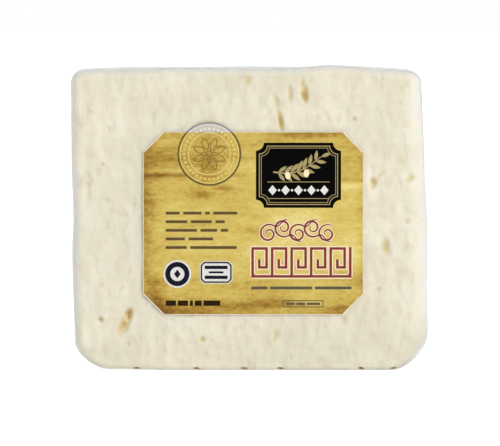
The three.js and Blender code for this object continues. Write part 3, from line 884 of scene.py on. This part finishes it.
def parchment_material():
    """Aged gold parchment: streaks drawn out sideways and blotches move a value along a scale
    from brown to pale gold, with the stored soft spots and darker edges taken off it."""
    material, shader = new_material("gold_parchment")
    tree = material.node_tree
    streaks = noise(tree, scale=380, detail=4, roughness=0.55, stretch=(0.13, 1, 1), distortion=0.25)
    blotches = noise(tree, scale=62, detail=5, roughness=0.6, stretch=(0.55, 1, 1), distortion=0.7)
    fibres = fibres_in(tree, shader, grain=1100, strength=0.08)
    value = mapped(tree, streaks, low=0.3, high=0.7, to_low=-0.13, to_high=0.13)
    value = worked(tree, value, GROUND_MIDDLE)
    value = worked(tree, value, mapped(tree, blotches, low=0.3, high=0.7, to_low=-0.24, to_high=0.24))
    value = worked(tree, value, mapped(tree, fibres, low=0, high=1, to_low=-0.13, to_high=0.13))
    value = worked(tree, value, stored(tree, "age"), "SUBTRACT")
    scale = tree.nodes.new("ShaderNodeValToRGB")
    stops = [
        (0.0, printed(128, 93, 38)),
        (0.25, printed(168, 134, 58)),
        (0.5, printed(196, 170, 86)),
        (0.75, printed(209, 187, 103)),
        (1.0, printed(224, 208, 134)),
    ]
    for at, _ in stops[1:-1]:
        scale.color_ramp.elements.new(at)
    for element, (at, colour) in zip(scale.color_ramp.elements, stops):
        element.position = at
        element.color = colour
    tree.links.new(value, scale.inputs["Fac"])
    tree.links.new(scale.outputs["Color"], shader.inputs["Base Color"])
    shader.inputs["Roughness"].default_value = 0.5
    shader.inputs["Specular IOR Level"].default_value = 0.035
    return material


label_outline = dense(clipped_box(LABEL_WIDE, LABEL_TALL, LABEL_CLIP), SHEET_STEP, closed=True)
label_shape = sheet_shape(label_outline, SHEET_RINGS)
label = label_piece("label_sheet", [label_shape], parchment_material(), LABEL_BACK, LABEL_FACE)
point_values(label, "age", aged(label_shape[0][:, 0], label_shape[0][:, 1]))
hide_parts("label")

# The black plaque
# The label's main field: solid black ink in a rectangle with scooped corners, at the upper right.
# The gold, cream and white inks lie on it.

INK = 0.03
PLAQUE_AT = (13.6, 14.5)
PLAQUE_WIDE, PLAQUE_TALL = 25.6, 19.6
PLAQUE_SCOOP = 2.4
SCOOP_STEPS = 7
UNDER = LABEL_FACE - INK
FIRST_INK = LABEL_FACE + INK
BETWEEN_INKS = FIRST_INK - INK / 2
SECOND_INK = LABEL_FACE + 2 * INK
THIRD_INK = SECOND_INK + INK / 2


def worn_group():
    """A node group for print: a colour, darkened by Wear where a fine noise is low."""
    tree = bpy.data.node_groups.new("worn_print", "ShaderNodeTree")
    tree.interface.new_socket("Colour", in_out="INPUT", socket_type="NodeSocketColor")
    tree.interface.new_socket("Wear", in_out="INPUT", socket_type="NodeSocketFloat")
    tree.interface.new_socket("Colour", in_out="OUTPUT", socket_type="NodeSocketColor")
    given = tree.nodes.new("NodeGroupInput")
    result = tree.nodes.new("NodeGroupOutput")
    speckle = noise(tree, scale=900, detail=3, roughness=0.6)
    strength = mapped(tree, speckle, low=0.3, high=0.7, to_low=1.0, to_high=0.0)
    darker = worked(tree, strength, given.outputs["Wear"], "MULTIPLY")
    colour = mixed(tree, darker, given.outputs["Colour"], printed(0, 0, 0))
    tree.links.new(colour, result.inputs["Colour"])
    return tree


worn_print = worn_group()


def worn(tree, colour, wear):
    """Places the print group in a material and returns its colour."""
    node = tree.nodes.new("ShaderNodeGroup")
    node.node_tree = worn_print
    node.inputs["Colour"].default_value = colour
    node.inputs["Wear"].default_value = wear
    return node.outputs["Colour"]


def ink_material(name, colour):
    """Printing ink: one colour, a little uneven in strength, on the paper's fine fibres."""
    material, shader = new_material(name)
    tree = material.node_tree
    tree.links.new(worn(tree, colour, wear=0.14), shader.inputs["Base Color"])
    fibres_in(tree, shader, grain=1500, strength=0.08)
    shader.inputs["Roughness"].default_value = 0.45
    shader.inputs["Specular IOR Level"].default_value = 0.03
    return material


def moved(outline, by):
    """An outline moved across and up."""
    return np.asarray(outline, float) + np.asarray(by, float)


def scooped_box(wide, tall, scoop):
    """A rectangle whose corners are quarter circles scooped out, counter-clockwise."""
    a, b = wide / 2, tall / 2
    t = np.linspace(math.pi / 2, 0, SCOOP_STEPS)
    corners = []
    for x, y, turn in ((-a, -b, 0), (a, -b, math.pi / 2), (a, b, math.pi), (-a, b, -math.pi / 2)):
        corners.append(np.stack([x + scoop * np.cos(t + turn), y + scoop * np.sin(t + turn)], axis=1))
    return np.concatenate(corners)


plaque_outline = dense(scooped_box(PLAQUE_WIDE, PLAQUE_TALL, PLAQUE_SCOOP), step=1.0, closed=True)
plaque = sheet_shape(moved(plaque_outline, PLAQUE_AT), rings=8)
label_piece("plaque", [plaque], ink_material("black_ink", printed(4, 3, 3)), UNDER, FIRST_INK)

# The plaque's keylines
# Gold ink on the black: a bold and a fine line inside the plaque's edge, and a rule above and
# below the row of lozenges.

# Each line's way in from the edge and half width, and the rules' heights, reach and half width.
EDGE_LINES = [(1.0, 0.14), (1.6, 0.09)]
RULES_UP = (-2.0, -7.0)
RULE_REACH = 9.4
RULE_HALF = 0.1

def strip_shape(path, half, closed=False):
    """A thin closed strip along a path: at each point half a width to either side, along the
    mean of the two neighbouring stretches' normals, lengthened at a corner so that the strip
    keeps its width."""
    path = np.asarray(path, float)
    half = np.broadcast_to(half, len(path))
    step = np.diff(path, axis=0, append=path[:1]) if closed else np.diff(path, axis=0)
    step /= np.linalg.norm(step, axis=1)[:, None]
    ahead = step if closed else np.concatenate([step, step[-1:]])
    behind = np.roll(step, 1, axis=0) if closed else np.concatenate([step[:1], step])
    mean = ahead + behind
    mean /= np.linalg.norm(mean, axis=1)[:, None]
    longer = 1 / np.clip((mean * ahead).sum(1), 0.35, 1)
    left = np.stack([-mean[:, 1], mean[:, 0]], axis=1) * (half * longer)[:, None]
    n = len(path)
    rails = [(path - left, 0), (path + left, 0), (path + left, 1), (path - left, 1)]
    points = np.concatenate([np.c_[rail, np.full(n, layer)] for rail, layer in rails])
    at = np.arange(n if closed else n - 1)
    to = (at + 1) % n
    faces = []
    for rail in range(4):
        here, beside = rail * n, (rail + 1) % 4 * n
        faces.append(np.stack([here + to, here + at, beside + at, beside + to], axis=1))
    if not closed:
        first = n * np.arange(4)
        faces += [first[None, ::-1], first[None] + n - 1]
    return points, faces


gold_ink = ink_material("gold_ink", printed(168, 152, 104))
keylines = []
for inner, half in EDGE_LINES:
    line = scooped_box(PLAQUE_WIDE - 2 * inner, PLAQUE_TALL - 2 * inner, PLAQUE_SCOOP)
    line = moved(dense(line, step=1.5, closed=True), PLAQUE_AT)
    keylines.append(strip_shape(line, half, closed=True))
for up in RULES_UP:
    rule = dense([(-RULE_REACH, up), (RULE_REACH, up)], step=1.5)
    keylines.append(strip_shape(moved(rule, PLAQUE_AT), RULE_HALF))
label_piece("plaque_keylines", keylines, gold_ink, BETWEEN_INKS, SECOND_INK)

# The olive sprig
# Gold ink on the black: a bowed stem with seven pairs of pointed leaves and one at its tip, and
# two olives in cream ink over it.

STEM_FROM = (-7.6, 1.0)
STEM_REACH = (14.4, 4.6)
STEM_BOW = 2.2
STEM_STEPS = 24
STEM_HALF = 0.26
STEM_THINS = 0.14
LEAF_PAIRS = 7
FIRST_PAIR = 0.1
PAIR_STEP = 0.13
LEAF_SIZE = (3.9, 1.25)
LEAF_SPREAD = math.radians(44)
LEAF_SHRINKS = 0.35
TIP_LEAF = (0.35, 3.2, 1.1)
OLIVE_SIZE = (0.85, 1.15)
OLIVES = [((-3.2, -0.1), 0.2), ((2.4, 0.6), -0.1)]


def turned(x, y, turn, middle):
    """Points turned by an angle in radians about nothing, then moved from nothing to a middle."""
    c, s = math.cos(turn), math.sin(turn)
    return np.stack([middle[0] + x * c - y * s, middle[1] + x * s + y * c], axis=1)


def leaf(foot, turn, long, wide, steps=9):
    """A pointed leaf from its foot outwards: its half width follows the sine of the way along."""
    t = np.linspace(0, 1, steps)
    half = wide / 2 * np.sin(math.pi * t)
    return turned(long * np.r_[t, t[-2:0:-1]], np.r_[-half, half[-2:0:-1]], turn, foot)


def ellipse(middle, a, b, turn=0.0, steps=28):
    """Points round an ellipse with half axes a and b, turned by an angle in radians."""
    t = np.linspace(0, 2 * math.pi, steps, endpoint=False)
    return turned(a * np.cos(t), b * np.sin(t), turn, middle)


along = np.linspace(0, 1, STEM_STEPS)
stem = np.outer(along, STEM_REACH) + STEM_FROM
stem[:, 1] -= STEM_BOW * np.sin(math.pi * along)
stem = moved(stem, PLAQUE_AT)
sprig = [strip_shape(stem, STEM_HALF - STEM_THINS * along)]
for k in range(LEAF_PAIRS):
    t = FIRST_PAIR + PAIR_STEP * k
    foot = [np.interp(t, along, stem[:, i]) for i in range(2)]
    before = int(t * (STEM_STEPS - 1))
    rise = stem[before + 1] - stem[before]
    slope = math.atan2(rise[1], rise[0])
    size = 1 - LEAF_SHRINKS * abs(t - 0.5)
    for side in (-1, 1):
        blade = leaf(foot, slope + side * LEAF_SPREAD, LEAF_SIZE[0] * size, LEAF_SIZE[1] * size)
        sprig.append(sheet_shape(blade, rings=2))
sprig.append(sheet_shape(leaf(stem[-1], *TIP_LEAF), rings=2))
label_piece("plaque_sprig", sprig, gold_ink, BETWEEN_INKS, SECOND_INK)

cream_ink = ink_material("cream_ink", printed(246, 228, 190))
olives = [sheet_shape(moved(ellipse(at, *OLIVE_SIZE, turn), PLAQUE_AT), rings=3) for at, turn in OLIVES]
label_piece("plaque_olives", olives, cream_ink, BETWEEN_INKS, THIRD_INK)

# The row of lozenges
# White ink on the black, between the two rules: five lozenges with a dot in each gap.

LOZENGE_PITCH = 3.9
LOZENGE_UP = -4.5
LOZENGE_SIZE = (2.6, 3.0)
DOT_RADIUS = 0.36


def lozenge(middle, wide, tall):
    """A diamond about its middle."""
    x, y = middle
    return [(x + wide / 2, y), (x, y + tall / 2), (x - wide / 2, y), (x, y - tall / 2)]


white_ink = ink_material("white_ink", printed(226, 224, 218))
row = []
for k in range(-2, 3):
    diamond = dense(lozenge((LOZENGE_PITCH * k, LOZENGE_UP), *LOZENGE_SIZE), step=1, closed=True)
    row.append(sheet_shape(moved(diamond, PLAQUE_AT), rings=2))
for k in (-1.5, -0.5, 0.5, 1.5):
    dot = ellipse((LOZENGE_PITCH * k, LOZENGE_UP), DOT_RADIUS, DOT_RADIUS, steps=12)
    row.append(sheet_shape(moved(dot, PLAQUE_AT), rings=1))
label_piece("plaque_lozenges", row, white_ink, BETWEEN_INKS, SECOND_INK)

# The flourish
# Crimson ink with a cream edge, in the label's right half: a band of five running scrolls.

FLOURISH_AT = (13.4, -2.2)
SCROLLS = 5
SCROLL_PITCH = 4.4
SCROLL_RADIUS = 2.9
SCROLL_TURNS = 1.5
SCROLL_WINDS_IN = 0.82
SCROLL_START = 0.9
SCROLL_UP = 0.9
STEM_SHORTER = 0.3
STEM_DROP = 1.9
STEM_WAVE = 0.5
FLOURISH_HALF = 0.09
FLOURISH_SWELL = 0.21
SWELL_LEAN = 0.8
FLOURISH_EDGE = 0.25


def scroll_path(k):
    """One scroll: a spiral whose radius falls off in a line over its turns, curling up and down by
    turns, and, but for the last, a stem that waves from it to the next with one turn of a sine."""
    up = 1 if k % 2 else -1
    t = np.linspace(0, 1, 60)
    angle = -up * (SCROLL_START + 2 * math.pi * SCROLL_TURNS * t)
    radius = SCROLL_RADIUS * (1 - SCROLL_WINDS_IN * t)
    scroll = np.stack([radius * np.cos(angle), SCROLL_UP * up + radius * np.sin(angle)], axis=1)
    reach = np.array([SCROLL_PITCH - STEM_SHORTER, -STEM_DROP * up])
    s = np.linspace(1, 0, 10)[:, None]
    stem = scroll[0] + reach * s + STEM_WAVE * up * np.sin(2 * math.pi * s) * [0.0, 1.0]
    path = np.concatenate([stem[:-1], scroll]) if k < SCROLLS - 1 else scroll
    return moved(path, (FLOURISH_AT[0] + SCROLL_PITCH * (k - (SCROLLS - 1) / 2), FLOURISH_AT[1]))


crimson_ink = ink_material("crimson_ink", printed(134, 60, 58))
flourish = []
flourish_edge = []
for k in range(SCROLLS):
    path = scroll_path(k)
    share = np.linspace(0, 1, len(path)) ** SWELL_LEAN
    half = FLOURISH_HALF + FLOURISH_SWELL * np.sin(math.pi * share)
    flourish.append(strip_shape(path, half))
    flourish_edge.append(strip_shape(path, half + FLOURISH_EDGE))
label_piece("flourish_edge", flourish_edge, cream_ink, UNDER, FIRST_INK)
label_piece("flourish", flourish, crimson_ink, UNDER, SECOND_INK)

# The key band
# Crimson ink with a cream edge, under the flourish: a Greek key of five hooks on a base line,
# closed by an upright.

KEY_AT = (-0.6, -16.4)
KEY_WIDE, KEY_TALL = 30.2, 9.2
KEY_REPEATS = 5
KEY_STROKE = 0.78
KEY_GAP = 1.68
KEY_EDGE = 0.36
HOOK_DROP = 5.7
HOOK_RISE = 2.4
HOOK_IN = 2.0

base = KEY_STROKE / 2
key_top = KEY_TALL - base
key_pitch = (KEY_WIDE - KEY_STROKE) / KEY_REPEATS
key_paths = [[(0, base), (KEY_WIDE, base)]]
for k in range(KEY_REPEATS):
    left = base + k * key_pitch
    right = left + key_pitch - KEY_GAP
    inside = left + HOOK_IN
    low = key_top - HOOK_DROP
    hook = [(right, key_top), (right, low), (inside, low), (inside, low + HOOK_RISE)]
    key_paths.append([(left, base), (left, key_top), *hook])
key_paths.append([(KEY_WIDE - base, base), (KEY_WIDE - base, KEY_TALL)])
key_paths = [moved(dense(path, step=1.5), KEY_AT) for path in key_paths]
key_edge = [strip_shape(path, KEY_STROKE / 2 + KEY_EDGE) for path in key_paths]
label_piece("key_band_edge", key_edge, cream_ink, UNDER, FIRST_INK)
key_band = [strip_shape(path, KEY_STROKE / 2) for path in key_paths]
label_piece("key_band", key_band, crimson_ink, UNDER, SECOND_INK)

# The bars of text
# Plain bars of ink, one for each word: five brown lines at the left, a heavy dark one under them,
# and a grey line and an outlined box under the key band.

TEXT_LEFT = -26.4
TEXT_TOP = 3.1
TEXT_PITCH = 2.6
TEXT_LINES = [[4.2, 5.5, 1.4, 7.2], [6.5, 6.3, 2.8], [9.4, 5.0, 2.2], [5.8, 7.4], [6.3, 14.0]]
TEXT_GAP, TEXT_TALL = 1.1, 0.85
WEIGHT_UP = -24.1
WEIGHT_LINE = [3.1, 3.1, 0.9, 2.1, 5.0]
WEIGHT_GAP, WEIGHT_TALL = 0.55, 1.6
STRAP_LEFT, STRAP_UP = -0.6, -19.5
STRAP_LINE = [4.8, 12.6, 11.0]
STRAP_GAP, STRAP_TALL = 0.9, 0.85
BOX_LEFT, BOX_UP = 9.0, -24.3
BOX_WIDE, BOX_TALL = 12.0, 1.9
BOX_HALF = 0.13
BOX_MARGIN = 0.9
BOX_LINE = [2.6, 2.6, 4.0]
BOX_GAP, BOX_BAR_TALL = 0.5, 0.7


def bar(left, up, long, tall):
    """An upright-ended bar from its left end, with points let in along it."""
    low, high = up - tall / 2, up + tall / 2
    corners = [(left, low), (left + long, low), (left + long, high), (left, high)]
    return dense(corners, step=1.5, closed=True)


def words(left, up, lengths, gap, tall):
    """A line of text: a bar for each length, a gap apart."""
    shapes = []
    for long in lengths:
        shapes.append(sheet_shape(bar(left, up, long, tall), rings=2))
        left += long + gap
    return shapes


text = []
for k, lengths in enumerate(TEXT_LINES):
    text += words(TEXT_LEFT, TEXT_TOP - k * TEXT_PITCH, lengths, TEXT_GAP, TEXT_TALL)
label_piece("text_bars", text, ink_material("brown_ink", printed(98, 80, 50)), UNDER, FIRST_INK)

weight = words(TEXT_LEFT, WEIGHT_UP, WEIGHT_LINE, WEIGHT_GAP, WEIGHT_TALL)
label_piece("weight_bars", weight, ink_material("dark_ink", printed(42, 30, 14)), UNDER, FIRST_INK)

strap = words(STRAP_LEFT, STRAP_UP, STRAP_LINE, STRAP_GAP, STRAP_TALL)
strap.append(strip_shape(bar(BOX_LEFT, BOX_UP, BOX_WIDE, BOX_TALL), BOX_HALF, closed=True))
strap += words(BOX_LEFT + BOX_MARGIN, BOX_UP, BOX_LINE, BOX_GAP, BOX_BAR_TALL)
label_piece("strap_bars", strap, ink_material("grey_ink", printed(92, 88, 72)), UNDER, FIRST_INK)

# The two marks
# At the lower left, in navy on white: a round one with a lozenge in its middle, and a clipped
# badge with a border and three bars.

DISC_AT = (-22.9, -15.3)
DISC_RADIUS = 4.2
RING_RADIUS = 2.9
RING_HALF = 0.75
DISC_LOZENGE = (2.0, 2.7)
BADGE_AT = (-11.2, -14.8)
BADGE_BOX = (9.8, 6.8, 1.1)
BORDER_BOX = (8.9, 5.9, 0.9)
BORDER_HALF = 0.22

# The badge's bars: height over its middle, length, thickness.
BADGE_BARS = [(1.5, 6.9, 1.0), (0.0, 4.4, 0.6), (-1.5, 6.9, 1.0)]

disc = sheet_shape(ellipse(DISC_AT, DISC_RADIUS, DISC_RADIUS, steps=40), rings=3)
badge = sheet_shape(moved(dense(clipped_box(*BADGE_BOX), step=1.2, closed=True), BADGE_AT), rings=4)
label_piece("marks_white", [disc, badge], white_ink, UNDER, FIRST_INK)

marks = [strip_shape(ellipse(DISC_AT, RING_RADIUS, RING_RADIUS, steps=40), RING_HALF, closed=True)]
disc_lozenge = dense(lozenge((0, 0), *DISC_LOZENGE), step=1, closed=True)
marks.append(sheet_shape(moved(disc_lozenge, DISC_AT), rings=2))
border = dense(clipped_box(*BORDER_BOX), step=1.2, closed=True)
marks.append(strip_shape(moved(border, BADGE_AT), BORDER_HALF, closed=True))
for up, long, tall in BADGE_BARS:
    marks.append(sheet_shape(moved(bar(-long / 2, up, long, tall), BADGE_AT), rings=2))
navy_ink = ink_material("navy_ink", printed(26, 26, 40))
label_piece("marks_navy", marks, navy_ink, BETWEEN_INKS, SECOND_INK)

# The seal's tab
# The part of the round clear sticker that stands above the label's top edge, on the film alone,
# where it looks a pale warm grey.

SEAL_AT = (-13.25, 20.95)
SEAL_RADIUS = 9.6
TOP_EDGE = LABEL_TALL / 2

reach = math.sqrt(SEAL_RADIUS**2 - (TOP_EDGE - SEAL_AT[1]) ** 2)
open_angle = math.atan2(TOP_EDGE - SEAL_AT[1], reach)
arc = np.linspace(open_angle, math.pi - open_angle, 24)
tab_outline = moved(SEAL_RADIUS * np.stack([np.cos(arc), np.sin(arc)], axis=1), SEAL_AT)
tab = sheet_shape(dense(tab_outline, step=0.8, closed=True), rings=4)
tab_grey = ink_material("tab_grey", printed(200, 194, 180))
label_piece("seal_tab", [tab], tab_grey, LABEL_BACK, LABEL_FACE)

# The seal
# The sticker's raised lines: a dark rim, two thin pale rings with a ring of beads between them,
# and a plain rosette of eight petals round a small ring.

RIM_RADIUS = 9.35
RIM_HALF = 0.25
OUTER_RING = (8.85, 0.12)
INNER_RING = (6.3, 0.14)
BEADS = 36
BEAD_CIRCLE = 7.6
BEAD_RADIUS = 0.34
PETALS = 8
PETAL_FROM = 1.3
PETAL_SIZE = (3.9, 1.9)
PETAL_HALF = 0.11
HEART_RING = (0.9, 0.14)


def seal_material(name, on_paper, on_film):
    """One colour over the paper and another above its top edge, where it stands on the film."""
    material, shader = new_material(name)
    tree = material.node_tree
    place = tree.nodes.new("ShaderNodeTexCoord")
    parts = tree.nodes.new("ShaderNodeSeparateXYZ")
    tree.links.new(place.outputs["Object"], parts.inputs["Vector"])
    edge_height = (LABEL_AT[1] + TOP_EDGE) * MM
    above = worked(tree, parts.outputs["Z"], edge_height, "GREATER_THAN")
    colour = mixed(tree, above, worn(tree, on_paper, wear=0.1), on_film)
    tree.links.new(colour, shader.inputs["Base Color"])
    shader.inputs["Roughness"].default_value = 0.35
    shader.inputs["Specular IOR Level"].default_value = 0.035
    return material


def round_seal(radius, turn):
    """The point of the seal at a radius and an angle."""
    return (SEAL_AT[0] + radius * math.cos(turn), SEAL_AT[1] + radius * math.sin(turn))


def seal_ring(radius, half, steps):
    """A thin ring round the seal's middle."""
    return strip_shape(ellipse(SEAL_AT, radius, radius, steps=steps), half, closed=True)


rim_line = seal_material("seal_dark", printed(104, 88, 48), printed(146, 142, 142))
rim = seal_ring(RIM_RADIUS, RIM_HALF, steps=90)
label_piece("seal_rim", [rim], rim_line, UNDER, SECOND_INK)

pale_line = seal_material("seal_pale", printed(222, 202, 124), printed(224, 221, 214))
rings = [seal_ring(*OUTER_RING, steps=90), seal_ring(*INNER_RING, steps=70)]
for k in range(BEADS):
    bead_at = round_seal(BEAD_CIRCLE, 2 * math.pi * k / BEADS)
    rings.append(sheet_shape(ellipse(bead_at, BEAD_RADIUS, BEAD_RADIUS, steps=12), rings=1))
label_piece("seal_rings", rings, pale_line, UNDER, FIRST_INK)

fine_line = seal_material("seal_line", printed(126, 100, 46), printed(160, 157, 152))
rosette = []
for k in range(PETALS):
    turn = 2 * math.pi * (k + 0.5) / PETALS
    petal = leaf(round_seal(PETAL_FROM, turn), turn, *PETAL_SIZE, steps=12)
    rosette.append(strip_shape(petal, PETAL_HALF, closed=True))
rosette.append(seal_ring(*HEART_RING, steps=24))
label_piece("seal_rosette", rosette, fine_line, UNDER, FIRST_INK)

# The studio
# A white floor and a white surround, a broad soft light from the front right, a weaker one from the
# front left, and a long lens a little above the block.

PHOTO_WIDE = 500
MM_PER_PIXEL = 0.3013
AIM = (0.3, -11.8, 44.6)
ELEVATION = 3.2
DISTANCE = 2.6
SENSOR = 36
FLOOR_REACH = 3
FLOOR_DROP = 1e-4

# How brightly the floor and the surround shine on the block, and how bright the camera sees them.
FLOOR_GLOW, FLOOR_SEEN = 0.42, 0.7
SURROUND_GLOW, SURROUND_SEEN = 0.74, 1
SURROUND_GLOSS = 0.24

floor_mesh = bpy.data.meshes.new("floor")
floor_signs = [(-1, -1), (1, -1), (1, 1), (-1, 1)]
corners = [(x * FLOOR_REACH, y * FLOOR_REACH, -FLOOR_DROP) for x, y in floor_signs]
floor_mesh.from_pydata(corners, [], [(0, 1, 2, 3)])
floor = bpy.data.objects.new("floor", floor_mesh)
bpy.context.scene.collection.objects.link(floor)
floor_material, floor_shader = new_material("studio_floor")
floor_shader.inputs["Base Color"].default_value = srgb(250, 250, 250)
floor_shader.inputs["Roughness"].default_value = 0.9
floor_shader.inputs["Emission Color"].default_value = (1.0, 1.0, 1.0, 1.0)
floor_tree = floor_material.node_tree
floor_seen = floor_tree.nodes.new("ShaderNodeLightPath").outputs["Is Camera Ray"]
floor_glow = mapped(floor_tree, floor_seen, 0, 1, FLOOR_GLOW, FLOOR_SEEN)
floor_tree.links.new(floor_glow, floor_shader.inputs["Emission Strength"])
floor_mesh.materials.append(floor_material)
floor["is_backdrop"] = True

world = bpy.data.worlds.new("studio")
world.use_nodes = True
bpy.context.scene.world = world
surround = world.node_tree.nodes["Background"]
surround.inputs["Color"].default_value = (1.0, 1.0, 1.0, 1.0)
seen = world.node_tree.nodes.new("ShaderNodeLightPath")
direct = mapped(world.node_tree, seen.outputs["Is Camera Ray"], 0, 1, SURROUND_GLOW, SURROUND_SEEN)
mirrored = worked(world.node_tree, seen.outputs["Is Glossy Ray"], SURROUND_GLOSS, "MULTIPLY")
world.node_tree.links.new(worked(world.node_tree, direct, mirrored), surround.inputs["Strength"])


def soft_light(name, place, size, power):
    """A square soft light that faces the middle of the block. The camera doesn't see it, and
    neither the film's gloss nor the film's clear wall carries it, so that no side glares."""
    lamp = bpy.data.lights.new(name, "AREA")
    lamp.size = size
    lamp.energy = power
    light = bpy.data.objects.new(name, lamp)
    light.location = place
    light.rotation_euler = (Vector(AIM) * MM - Vector(place)).to_track_quat("-Z", "Y").to_euler()
    light.visible_camera = False
    light.visible_glossy = False
    light.visible_transmission = False
    bpy.context.scene.collection.objects.link(light)


soft_light("key", place=(0.8, -0.95, 0.6), size=0.6, power=8.2)
soft_light("fill", place=(-0.9, -1.0, 0.4), size=0.9, power=0.3)

camera_data = bpy.data.cameras.new("camera")
camera_data.sensor_width = SENSOR
camera_data.lens = SENSOR * DISTANCE / (PHOTO_WIDE * MM_PER_PIXEL * MM)
camera_data.clip_end = 20
camera = bpy.data.objects.new("camera", camera_data)
tilt = math.radians(ELEVATION)
aim = Vector(AIM) * MM + Vector(STAND)
camera.location = aim + DISTANCE * Vector((0, -math.cos(tilt), math.sin(tilt)))
camera.rotation_euler = (math.pi / 2 - tilt, 0, 0)
bpy.context.scene.collection.objects.link(camera)
bpy.context.scene.camera = camera
bpy.context.scene.view_settings.view_transform = "Standard"

low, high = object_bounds()
